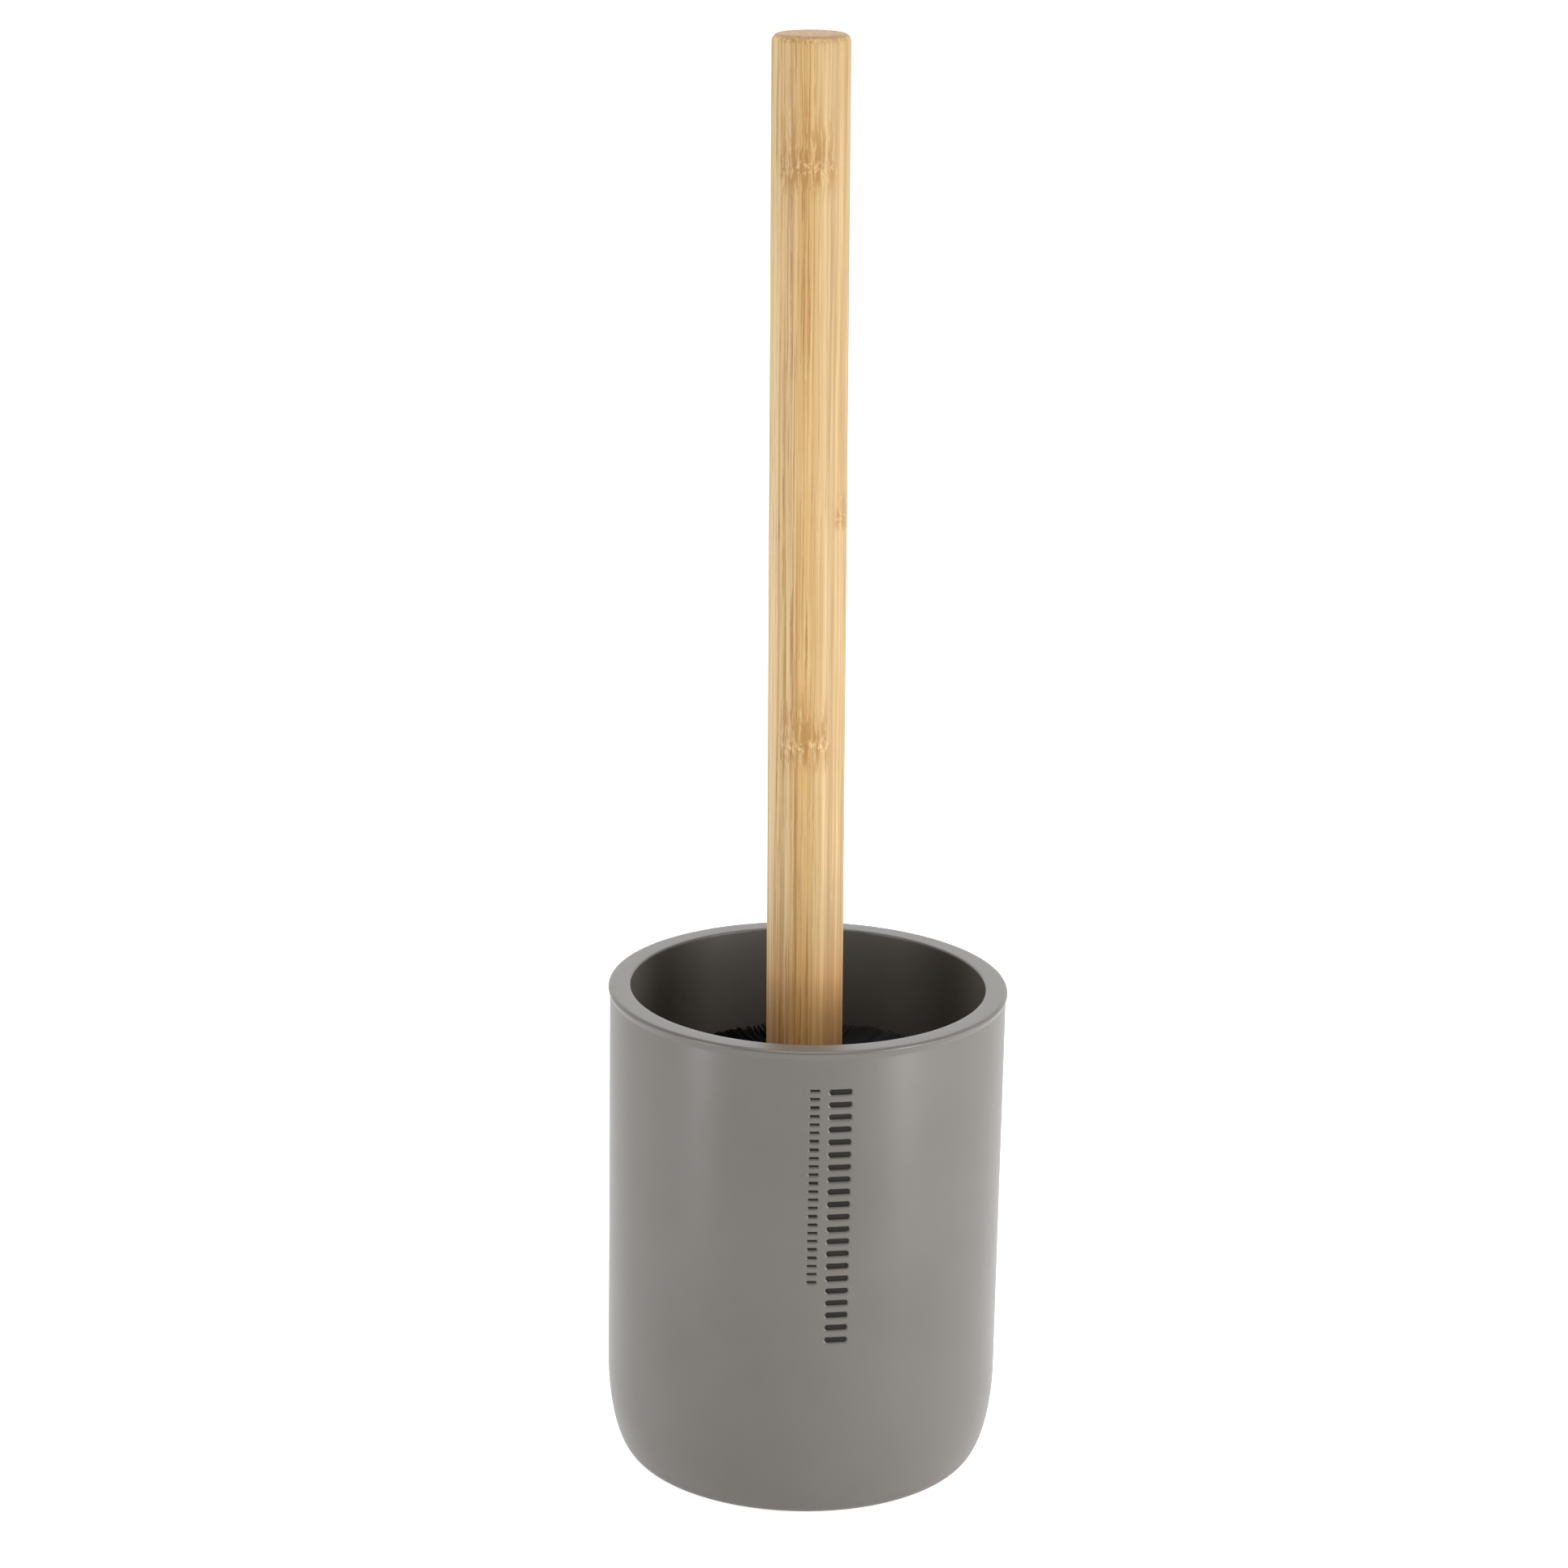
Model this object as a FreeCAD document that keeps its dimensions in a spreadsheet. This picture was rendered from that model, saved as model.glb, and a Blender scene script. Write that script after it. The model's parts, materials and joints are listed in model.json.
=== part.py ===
"""Toilet brush in a round cup holder: cup, base pad, bamboo handle and screwed-on brush head.

The frame's origin is on the floor under the middle of the cup, +Z is up and -Y is the front.
Lengths are millimetres. The brush is modelled upright about its own axis, with its lowest bristle
tips at height 0, and is then placed in the cup, where it leans a little.
"""
import FreeCAD, Part
import math
import os

import Sketcher
from FreeCAD import Placement, Rotation, Vector

DIMENSIONS = {
    # cup
    "cup_height": 124.3,
    "pad_stand": 0.6,            # how far the base pad stands below the cup
    "lip_radius": 50.0,
    "lip_height": 1.8,
    "wall_top_radius": 49.62,
    "wall_low_radius": 49.36,
    "corner_width": 7.0,         # the base corner is a quarter of an ellipse
    "corner_height": 24.0,
    "mouth_radius": 44.46,
    "floor_radius": 43.7,
    "floor_thickness": 7.4,
    "floor_fillet": 8.0,
    "mouth_fillet": 0.5,
    "rim_fillet": 0.8,
    "lip_fillet": 0.3,
    # plain marks sunk in the front of the cup
    "mark_floor_radius": 49.15,
    "bar_height": 1.5,
    "bar_angle": 6.7,
    "bar_azimuth": 9.85,
    "dash_height": 0.7,
    "dash_angle": 3.0,
    "dash_azimuth": 2.55,
    "marks_top": 115.2,
    "bar_column": 64.8,
    "dash_column": 49.9,
    # base pad
    "pad_radius": 37.0,
    "pad_recess_radius": 37.3,
    "pad_thickness": 1.6,
    # brush as a whole
    "foot_height": 8.45,
    "brush_length": 353.2,
    # handle
    "handle_radius": 9.54,
    "handle_end_round": 1.6,
    "handle_foot_round": 0.6,
    "stud_room_radius": 4.4,
    "stud_room_depth": 22.0,
    # threaded insert in the handle's lower end
    "insert_radius": 5.6,
    "insert_length": 12.5,
    "insert_flange_radius": 7.4,
    "insert_flange": 1.0,
    "insert_bore_radius": 4.05,
    # stud
    "stud_radius": 4.0,
    "stud_sunk": 18.0,
    "stud_proud": 16.0,
    "stud_end_bevel": 0.8,
    # seal washer
    "washer_radius": 9.0,
    "washer_hole_radius": 4.6,
    "washer_thickness": 1.5,
    "washer_gap": 0.05,
    # brush head core
    "core_radius": 10.0,
    "core_centre": 34.0,         # height of the middle of its round lower end
    "neck_radius": 11.0,
    "neck_base": 95.4,
    "core_top": 98.0,
    "core_bore_radius": 4.05,
    "core_bore_depth": 18.3,
    "core_top_round": 0.6,
    # bristle tufts, each folded round a wire anchor in a drilled hole
    "hole_radius": 1.05,
    "hole_depth": 4.0,
    "anchor_length": 1.8,
    "anchor_width": 0.4,
    "anchor_depth": 0.6,
    "tuft_root_radius": 1.0,
    "tuft_tip_radius": 3.1,
    "tuft_reach": 37.0,
    "first_row": 38.0,
    "last_row": 91.1,
}

BAR_COUNT = 21
DASH_COUNT = 24
ROW_COUNT = 9
TUFTS_PER_ROW = 18

# the crown on the core's round end: name, tufts, angle below level, reach from the dome's middle
CROWN = [
    ("bristle_crown_outer", 12, 35.0, 36.0),
    ("bristle_crown_inner", 6, 65.0, 34.6),
    ("bristle_crown_tip", 1, 90.0, 34.0),
]

# where the brush's axis meets the height foot_height, and how it leans for each mm of rise
FOOT_X = 0.47
FOOT_Y = -3.5
LEAN_X = -0.0114
LEAN_Y = 0.03

OVERCUT = 1.0            # how far a cutting outline reaches past the surface it cuts
SAME = 0.01              # two lengths closer than this count as equal

document = FreeCAD.newDocument("toilet_brush_holder")
sheet = document.addObject("Spreadsheet::Sheet", "dims")
for row_number, (alias, value) in enumerate(DIMENSIONS.items(), start=1):
    sheet.set(f"A{row_number}", alias)
    sheet.set(f"B{row_number}", str(value))
    sheet.setAlias(f"B{row_number}", alias)
document.recompute()


class Size:
    """A length that carries its number together with the sheet expression that gives it."""

    def __init__(self, value, text):
        self.value = value
        self.text = text

    def join(self, other, sign):
        other = other if isinstance(other, Size) else Size(other, str(other))
        total = self.value + other.value if sign == "+" else self.value - other.value
        return Size(total, f"({self.text} {sign} {other.text})")

    def __add__(self, other):
        return self.join(other, "+")

    def __sub__(self, other):
        return self.join(other, "-")

    def __neg__(self):
        return Size(-self.value, f"(-{self.text})")


def size(alias):
    return Size(DIMENSIONS[alias], f"dims.{alias}")


ZERO = Size(0.0, "0")


def new_body(name):
    body = document.addObject("PartDesign::Body", name)
    body.Label = name
    body.AllowCompound = True
    return body


def origin_feature(body, role):
    return next(item for item in body.Origin.OriginFeatures if item.Role == role)


def new_sketch(body, name, plane, offset=Placement()):
    sketch = body.newObject("Sketcher::SketchObject", name)
    sketch.AttachmentSupport = [(origin_feature(body, plane), "")]
    sketch.MapMode = "FlatFace"
    sketch.AttachmentOffset = offset
    return sketch


def pin(sketch, curve, end, point):
    """Tie one end of a curve to its two sizes, measured from the sketch's origin."""
    for kind, axis, coordinate in (("DistanceX", -2, point[0]), ("DistanceY", -1, point[1])):
        if coordinate is ZERO:
            sketch.addConstraint(Sketcher.Constraint("PointOnObject", curve, end, axis))
            continue
        number = sketch.addConstraint(
            Sketcher.Constraint(kind, -1, 1, curve, end, coordinate.value)
        )
        sketch.renameConstraint(number, f"{kind}_{curve}_{end}")
        sketch.setExpression(f"Constraints.{kind}_{curve}_{end}", coordinate.text)


def at(point):
    return Vector(point[0].value, point[1].value, 0)


def draw_outline(sketch, corners):
    """A closed outline of straight sides, each corner tied to its sizes."""
    count = len(corners)
    for index, corner in enumerate(corners):
        following = corners[(index + 1) % count]
        sketch.addGeometry(Part.LineSegment(at(corner), at(following)), False)
    for index, corner in enumerate(corners):
        sketch.addConstraint(
            Sketcher.Constraint("Coincident", index, 2, (index + 1) % count, 1)
        )
        pin(sketch, index, 1, corner)


def revolve(body, sketch, axis="V_Axis", kind="Revolution", angle=360.0, symmetric=False):
    turned = body.newObject(f"PartDesign::{kind}", f"{sketch.Name}_turned")
    turned.Profile = sketch
    turned.ReferenceAxis = (sketch, [axis])
    turned.Angle = angle
    turned.Midplane = symmetric
    sketch.Visibility = False
    body.Tip = turned
    return turned


def turned_piece(name, corners):
    """A body of revolution about its Z axis."""
    body = new_body(name)
    sketch = new_sketch(body, f"{name}_section", "XZ_Plane")
    draw_outline(sketch, corners)
    revolve(body, sketch)
    document.recompute()
    return body


def is_circle(edge, radius, height):
    if edge.Degenerated or not isinstance(edge.Curve, Part.Circle):
        return False
    same_radius = abs(edge.Curve.Radius - radius) < SAME
    return same_radius and abs(edge.Curve.Center.z - height) < SAME


def round_edges(body, radius_alias, circles):
    """Fillet the circular edges given as (radius, height) pairs of sizes."""
    base = body.Tip
    names = [
        f"Edge{number}"
        for number, edge in enumerate(base.Shape.Edges, start=1)
        for radius, height in circles
        if is_circle(edge, radius.value, height.value)
    ]
    fillet = body.newObject("PartDesign::Fillet", f"{body.Name}_{radius_alias}")
    fillet.Base = (base, names)
    fillet.setExpression("Radius", f"dims.{radius_alias}")
    body.Tip = fillet
    document.recompute()
    return fillet


def repeat_round(body, feature, count):
    """Repeat a feature evenly round the body's Z axis."""
    pattern = body.newObject("PartDesign::PolarPattern", f"{feature.Name}_ring")
    pattern.Originals = [feature]
    pattern.Axis = (origin_feature(body, "Z_Axis"), [""])
    pattern.Angle = 360.0
    pattern.Occurrences = count
    body.Tip = pattern
    return pattern


def make_cup():
    body = new_body("holder_cup")
    bottom = size("pad_stand")
    rim = bottom + size("cup_height")
    lip_foot = rim - size("lip_height")
    floor = bottom + size("floor_thickness")
    recess_top = size("pad_thickness")
    corner_top = bottom + size("corner_height")
    base_edge = size("wall_low_radius") - size("corner_width")

    section = new_sketch(body, "cup_section", "XZ_Plane")
    corners = [
        (base_edge, bottom),
        (size("wall_low_radius"), corner_top),
        (size("wall_top_radius"), lip_foot),
        (size("lip_radius"), lip_foot),
        (size("lip_radius"), rim),
        (size("mouth_radius"), rim),
        (size("floor_radius"), floor),
        (ZERO, floor),
        (ZERO, recess_top),
        (size("pad_recess_radius"), recess_top),
        (size("pad_recess_radius"), bottom),
    ]
    centre = (base_edge, corner_top)
    lowest = (base_edge, bottom)
    widest = (size("wall_low_radius"), corner_top)
    ellipse = Part.Ellipse(at(lowest), at(widest), at(centre))
    section.addGeometry(Part.ArcOfEllipse(ellipse, 0.0, math.pi / 2), False)
    for start, stop in zip(corners[1:], corners[2:] + corners[:1]):
        section.addGeometry(Part.LineSegment(at(start), at(stop)), False)
    last = len(corners) - 1
    for curve in range(last):
        section.addConstraint(Sketcher.Constraint("Coincident", curve, 2, curve + 1, 1))
        pin(section, curve + 1, 1, corners[curve + 1])
    section.addConstraint(Sketcher.Constraint("Tangent", last, 2, 0, 1))
    pin(section, 0, 1, lowest)
    pin(section, 0, 3, centre)
    revolve(body, section)
    document.recompute()

    round_edges(body, "floor_fillet", [(size("floor_radius"), floor)])
    round_edges(body, "mouth_fillet", [(size("mouth_radius"), rim)])
    round_edges(body, "rim_fillet", [(size("lip_radius"), rim)])
    round_edges(body, "lip_fillet", [(size("lip_radius"), lip_foot)])
    sink_marks(body, "bar", BAR_COUNT)
    sink_marks(body, "dash", DASH_COUNT)
    return body


def sink_marks(body, kind, count):
    """A column of equal shallow marks that follow the round of the wall, top mark first."""
    azimuth = DIMENSIONS[f"{kind}_azimuth"]
    turn = Placement(Vector(0, 0, 0), Rotation(Vector(0, 1, 0), azimuth))
    sketch = new_sketch(body, f"{kind}_section", "YZ_Plane", turn)
    top = size("marks_top")
    low = top - size(f"{kind}_height")
    inside = -size("mark_floor_radius")
    outside = -(size("lip_radius") + OVERCUT)
    draw_outline(sketch, [(inside, low), (inside, top), (outside, top), (outside, low)])
    groove = revolve(body, sketch, kind="Groove", symmetric=True)
    groove.setExpression("Angle", f"dims.{kind}_angle")
    document.recompute()
    column = body.newObject("PartDesign::LinearPattern", f"{kind}_column_pattern")
    column.Originals = [groove]
    column.Direction = (origin_feature(body, "Z_Axis"), [""])
    column.Reversed = True
    column.setExpression("Length", f"dims.{kind}_column")
    column.Occurrences = count
    body.Tip = column
    document.recompute()


def make_pad():
    """A foam disc stuck in the recess under the cup, on which the holder rests."""
    body = new_body("base_pad")
    sketch = new_sketch(body, "pad_outline", "XY_Plane")
    sketch.addGeometry(Part.Circle(Vector(0, 0, 0), Vector(0, 0, 1), DIMENSIONS["pad_radius"]))
    sketch.addConstraint(Sketcher.Constraint("Coincident", 0, 3, -1, 1))
    number = sketch.addConstraint(Sketcher.Constraint("Radius", 0, DIMENSIONS["pad_radius"]))
    sketch.renameConstraint(number, "pad_radius")
    sketch.setExpression("Constraints.pad_radius", "dims.pad_radius")
    pad = body.newObject("PartDesign::Pad", "pad_disc")
    pad.Profile = sketch
    pad.setExpression("Length", "dims.pad_thickness")
    body.Tip = pad
    document.recompute()
    return body


def make_handle():
    """The bamboo rod, bored at its lower end for the threaded insert and the stud's tip."""
    foot = handle_foot()
    top = size("brush_length")
    insert_top = foot + size("insert_length")
    flange_top = foot + size("insert_flange")
    room_top = foot + size("stud_room_depth")
    body = turned_piece("bamboo_handle", [
        (size("insert_flange_radius"), foot),
        (size("handle_radius"), foot),
        (size("handle_radius"), top),
        (ZERO, top),
        (ZERO, room_top),
        (size("stud_room_radius"), room_top),
        (size("stud_room_radius"), insert_top),
        (size("insert_radius"), insert_top),
        (size("insert_radius"), flange_top),
        (size("insert_flange_radius"), flange_top),
    ])
    round_edges(body, "handle_end_round", [(size("handle_radius"), top)])
    round_edges(body, "handle_foot_round", [(size("handle_radius"), foot)])
    return body


def handle_foot():
    gaps = size("washer_gap") + size("washer_gap")
    return size("core_top") + size("washer_thickness") + gaps


def make_insert():
    """The flanged insert whose inside thread takes the stud."""
    foot = handle_foot()
    top = foot + size("insert_length")
    flange_top = foot + size("insert_flange")
    return turned_piece("threaded_insert", [
        (size("insert_bore_radius"), foot),
        (size("insert_flange_radius"), foot),
        (size("insert_flange_radius"), flange_top),
        (size("insert_radius"), flange_top),
        (size("insert_radius"), top),
        (size("insert_bore_radius"), top),
    ])


def make_stud():
    """The steel stud: its lower half sits in the core, its upper half in the insert."""
    low = size("core_top") - size("stud_sunk")
    high = size("core_top") + size("stud_proud")
    narrow = size("stud_radius") - size("stud_end_bevel")
    return turned_piece("threaded_stud", [
        (ZERO, low),
        (narrow, low),
        (size("stud_radius"), low + size("stud_end_bevel")),
        (size("stud_radius"), high - size("stud_end_bevel")),
        (narrow, high),
        (ZERO, high),
    ])


def make_washer():
    low = size("core_top") + size("washer_gap")
    high = low + size("washer_thickness")
    return turned_piece("seal_washer", [
        (size("washer_hole_radius"), low),
        (size("washer_radius"), low),
        (size("washer_radius"), high),
        (size("washer_hole_radius"), high),
    ])


def level_rows():
    """(name, height, turn in degrees) of each level row of tufts, lowest first."""
    first = DIMENSIONS["first_row"]
    spacing = (DIMENSIONS["last_row"] - first) / (ROW_COUNT - 1)
    half_pitch = 180.0 / TUFTS_PER_ROW
    for row in range(ROW_COUNT):
        yield f"bristle_row_{row + 1:02d}", first + row * spacing, half_pitch * (row % 2)


def tuft_places():
    """Every ring of tufts as (name, tufts, angle below level, reach, centre height, turn)."""
    for name, height, turn in level_rows():
        yield name, TUFTS_PER_ROW, 0.0, DIMENSIONS["tuft_reach"], height, turn
    for name, count, angle, reach in CROWN:
        yield name, count, angle, reach, DIMENSIONS["core_centre"], 0.0


def tuft_frame(angle, height, turn):
    """The sketch offset whose X axis runs out along a tuft's middle."""
    lifted = Placement(Vector(0, height, 0), Rotation(Vector(0, 1, 0), turn))
    return lifted.multiply(Placement(Vector(0, 0, 0), Rotation(Vector(0, 0, 1), -angle)))


def make_core():
    """The moulded core, drilled for every tuft and bored from the top for the stud."""
    top = size("core_top")
    bore_foot = top - size("core_bore_depth")
    dome = size("core_centre") - size("core_radius")
    body = turned_piece("brush_core", [
        (ZERO, dome),
        (size("core_radius"), dome),
        (size("core_radius"), size("neck_base")),
        (size("neck_radius"), size("neck_base")),
        (size("neck_radius"), top),
        (size("core_bore_radius"), top),
        (size("core_bore_radius"), bore_foot),
        (ZERO, bore_foot),
    ])
    dome_cut = new_sketch(body, "dome_section", "XZ_Plane")
    draw_dome_corner(dome_cut, dome)
    revolve(body, dome_cut, kind="Groove")
    document.recompute()
    round_edges(body, "core_top_round", [(size("neck_radius"), top)])
    mouth = size("core_radius") + OVERCUT
    hole_foot = size("core_radius") - size("hole_depth")
    for name, count, angle, reach, height, turn in tuft_places():
        sketch = new_sketch(body, f"{name}_hole", "XZ_Plane", tuft_frame(angle, height, turn))
        draw_outline(sketch, [
            (hole_foot, ZERO),
            (mouth, ZERO),
            (mouth, size("hole_radius")),
            (hole_foot, size("hole_radius")),
        ])
        hole = revolve(body, sketch, axis="H_Axis", kind="Groove")
        if count > 1:
            repeat_round(body, hole, count)
    document.recompute()
    return body


def draw_dome_corner(sketch, dome):
    """The square corner outside the core's round lower end, which the groove takes away."""
    radius = size("core_radius")
    centre = size("core_centre")
    outer = radius + OVERCUT
    low = dome - OVERCUT
    arc = Part.Circle(Vector(0, centre.value, 0), Vector(0, 0, 1), radius.value)
    sketch.addGeometry(Part.ArcOfCircle(arc, -math.pi / 2, 0.0), False)
    corners = [(radius, centre), (outer, centre), (outer, low), (ZERO, low), (ZERO, dome)]
    for start, stop in zip(corners, corners[1:]):
        sketch.addGeometry(Part.LineSegment(at(start), at(stop)), False)
    for curve in range(4):
        sketch.addConstraint(Sketcher.Constraint("Coincident", curve, 2, curve + 1, 1))
        pin(sketch, curve + 1, 1, corners[curve])
    sketch.addConstraint(Sketcher.Constraint("Coincident", 4, 2, 0, 1))
    sketch.addConstraint(Sketcher.Constraint("PointOnObject", 0, 1, -2))
    pin(sketch, 0, 3, (ZERO, centre))


def make_tufts(name, count, angle, reach, height, turn):
    """One ring of tufts: a straight root in its hole, spreading evenly to the tips."""
    body = new_body(name)
    sketch = new_sketch(body, f"{name}_section", "XZ_Plane", tuft_frame(angle, height, turn))
    root = size("core_radius") - size("hole_depth") + size("anchor_depth")
    tip = Size(reach, str(reach))
    draw_outline(sketch, [
        (root, ZERO),
        (tip, ZERO),
        (tip, size("tuft_tip_radius")),
        (size("core_radius"), size("tuft_root_radius")),
        (root, size("tuft_root_radius")),
    ])
    tuft = revolve(body, sketch, axis="H_Axis")
    document.recompute()
    if count > 1:
        repeat_round(body, tuft, count)
        document.recompute()
    return body


def make_anchors():
    """The wire anchors, one across the foot of each hole, all rings together."""
    body = new_body("tuft_anchors")
    low = size("core_radius") - size("hole_depth")
    high = low + size("anchor_depth")
    half = DIMENSIONS["anchor_length"] / 2
    side = Size(half, "(dims.anchor_length / 2)")
    for name, count, angle, reach, height, turn in tuft_places():
        sketch = new_sketch(body, f"{name}_anchor", "XZ_Plane", tuft_frame(angle, height, turn))
        draw_outline(sketch, [(low, -side), (high, -side), (high, side), (low, side)])
        anchor = body.newObject("PartDesign::Pad", f"{name}_anchor_pad")
        anchor.Profile = sketch
        anchor.setExpression("Length", "dims.anchor_width")
        anchor.Midplane = True
        sketch.Visibility = False
        body.Tip = anchor
        document.recompute()
        if count > 1:
            repeat_round(body, anchor, count)
            document.recompute()
    return body


def place_in_cup(bodies):
    lean = Rotation(Vector(0, 0, 1), Vector(LEAN_X, LEAN_Y, 1.0))
    foot = Vector(FOOT_X, FOOT_Y, DIMENSIONS["foot_height"])
    for body in bodies:
        body.Placement = Placement(foot, lean)


def check_document(bodies):
    for item in document.Objects:
        if "Invalid" in item.State or "Error" in item.State:
            raise SystemExit(f"{item.Label} did not build: {item.State}")
    for body in bodies:
        if body.Shape.isNull() or not body.Shape.isValid():
            raise SystemExit(f"{body.Label} has no valid shape")


def main():
    cup_side = [make_cup(), make_pad()]
    brush = [make_handle(), make_insert(), make_washer(), make_stud(), make_core()]
    brush += [make_tufts(*ring) for ring in tuft_places()]
    brush.append(make_anchors())
    place_in_cup(brush)
    document.recompute()
    pieces = cup_side + brush
    check_document(pieces)
    os.makedirs("parts", exist_ok=True)
    for body in pieces:
        body.Shape.exportStep(f"parts/{body.Label}.step")
        print(f"{body.Label}: {len(body.Shape.Solids)} solids, {body.Shape.Volume:.1f} mm3")


main()
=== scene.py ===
"""Looks of the toilet brush holder: satin cast cup, bamboo handle, black bristle head.

The frame is in metres with +Z up and the front at -Y. Lengths named here are in millimetres,
and MM turns them into metres. Brush pieces are built upright about their own axis and then
placed by brush_matrix, which follows the brush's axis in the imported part.
"""
import json
import math

import bpy
import numpy as np
from mathutils import Matrix, Vector


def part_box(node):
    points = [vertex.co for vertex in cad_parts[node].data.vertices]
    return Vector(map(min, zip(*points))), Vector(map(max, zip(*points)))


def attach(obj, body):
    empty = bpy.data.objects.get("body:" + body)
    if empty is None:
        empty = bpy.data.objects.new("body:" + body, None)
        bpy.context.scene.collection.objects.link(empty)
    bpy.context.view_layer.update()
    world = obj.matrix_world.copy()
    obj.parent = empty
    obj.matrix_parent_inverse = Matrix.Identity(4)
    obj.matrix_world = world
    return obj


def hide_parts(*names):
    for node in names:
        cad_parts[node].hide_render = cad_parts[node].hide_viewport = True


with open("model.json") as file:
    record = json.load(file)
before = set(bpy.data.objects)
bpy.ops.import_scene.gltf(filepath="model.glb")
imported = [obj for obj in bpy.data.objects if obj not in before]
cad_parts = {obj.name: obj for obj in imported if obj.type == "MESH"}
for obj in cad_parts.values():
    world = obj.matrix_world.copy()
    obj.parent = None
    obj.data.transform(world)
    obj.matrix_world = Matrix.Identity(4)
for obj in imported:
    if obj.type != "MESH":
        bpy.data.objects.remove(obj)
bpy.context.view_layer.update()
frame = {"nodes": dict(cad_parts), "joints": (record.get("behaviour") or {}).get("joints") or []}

MM = 0.001
SEED = 7

# cup, measured from the floor
RIM_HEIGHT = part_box("holder_cup")[1].z / MM
LIP_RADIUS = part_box("holder_cup")[1].x / MM
CUP_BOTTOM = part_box("holder_cup")[0].z / MM
PAD_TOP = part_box("base_pad")[1].z / MM
LIP_HEIGHT = 0.8
LIP_TAPER = 1.5
WALL_TOP_RADIUS = LIP_RADIUS - 0.38
WALL_LOW_RADIUS = LIP_RADIUS - 0.64
CORNER_WIDTH = 7.0
CORNER_HEIGHT = 24.0
MOUTH_RADIUS = 44.46
FLOOR_RADIUS = 43.7
FLOOR_HEIGHT = 8.0
FLOOR_FILLET = 8.0
MOUTH_FILLET = 0.5
RIM_FILLET = 0.8
RECESS_RADIUS = 37.3

# the two columns of plain sunk marks on the front
MARK_DEPTH = 0.4
MARK_EDGE = 0.18        # width over which a mark's edge falls
MARKS_TOP = RIM_HEIGHT - 9.7
BARS = {"count": 21, "height": 1.5, "length": 64.8, "azimuth": 9.85, "angle": 6.7}
DASHES = {"count": 24, "height": 0.7, "length": 49.9, "azimuth": 2.55, "angle": 3.0}

# brush, measured along its own axis from its lowest bristle tips
BRUSH_LENGTH = 353.2
HANDLE_RADIUS = 9.54
HANDLE_FOOT = 99.6
# each growth node of the bamboo, in metres: height, left limit, right limit, reach up
GROWTH_NODES = [
    (0.3222, -0.0070, 0.0062, 0.022),
    (0.2370, 0.0066, 0.0200, 0.010),
    (0.1800, -0.0062, 0.0055, 0.020),
]
CORE_RADIUS = 10.0
CORE_CENTRE = 34.0
ROW_FIRST = 38.0
ROW_LAST = 91.1
ROW_COUNT = 9
TUFTS_PER_ROW = 18
TUFT_REACH = 37.0
CROWN = [
    ("bristle_crown_outer", 12, 35.0, 36.0),
    ("bristle_crown_inner", 6, 65.0, 34.6),
    ("bristle_crown_tip", 1, 90.0, 34.0),
]


# ---------------------------------------------------------------- mesh helpers

def brush_matrix():
    """From the brush's own upright frame to the row frame."""
    turn = next(joint for joint in frame["joints"] if joint["name"] == "brush_turn")
    lean = Vector((0, 0, 1)).rotation_difference(Vector(turn["axis"]))
    return Matrix.Translation(turn["pos_m"]) @ lean.to_matrix().to_4x4()


def new_piece(name, vertices, faces, material, body, matrix=None, smooth=True):
    """A mesh piece from points in millimetres, riding on a body. With a matrix the points are in
    the brush's own frame, and the piece keeps them as the attribute "place" for its material."""
    points = np.asarray(vertices, float) * MM
    placed = points
    if matrix is not None:
        turn = np.array(matrix)
        placed = points @ turn[:3, :3].T + turn[:3, 3]
    mesh = bpy.data.meshes.new(name)
    mesh.from_pydata(placed.tolist(), [], faces)
    if smooth:
        mesh.shade_smooth()
    else:
        mesh.shade_flat()
    mesh.materials.append(material)
    if matrix is not None:
        attribute = mesh.attributes.new("place", "FLOAT_VECTOR", "POINT")
        attribute.data.foreach_set("vector", points.astype(np.float32).ravel())
    piece = bpy.data.objects.new(name, mesh)
    bpy.context.scene.collection.objects.link(piece)
    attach(piece, body)
    return piece


def arc(centre, radius, start, stop, steps):
    """(radius, height) points on a circle's arc, angles in degrees, both ends included."""
    angles = np.radians(np.linspace(start, stop, steps + 1))
    return [(centre[0] + radius * math.cos(a), centre[1] + radius * math.sin(a)) for a in angles]


def lathe(profile, angles):
    """Vertices and faces of a surface turned round Z. A profile end on the axis closes to a pole."""
    vertices, rings = [], []
    for radius, height in profile:
        if radius < 1e-6:
            rings.append([len(vertices)])
            vertices.append((0.0, 0.0, height))
            continue
        start = len(vertices)
        vertices += [(radius * math.sin(a), -radius * math.cos(a), height) for a in angles]
        rings.append(list(range(start, start + len(angles))))
    faces = []
    count = len(angles)
    for lower, upper in zip(rings, rings[1:]):
        for index in range(count):
            following = (index + 1) % count
            if len(lower) == 1:
                faces.append((lower[0], upper[following], upper[index]))
            elif len(upper) == 1:
                faces.append((lower[index], lower[following], upper[0]))
            else:
                faces.append((lower[index], lower[following], upper[following], upper[index]))
    return vertices, faces


def even_angles(count):
    return [2 * math.pi * index / count for index in range(count)]


# ---------------------------------------------------------------- material helpers

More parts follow.
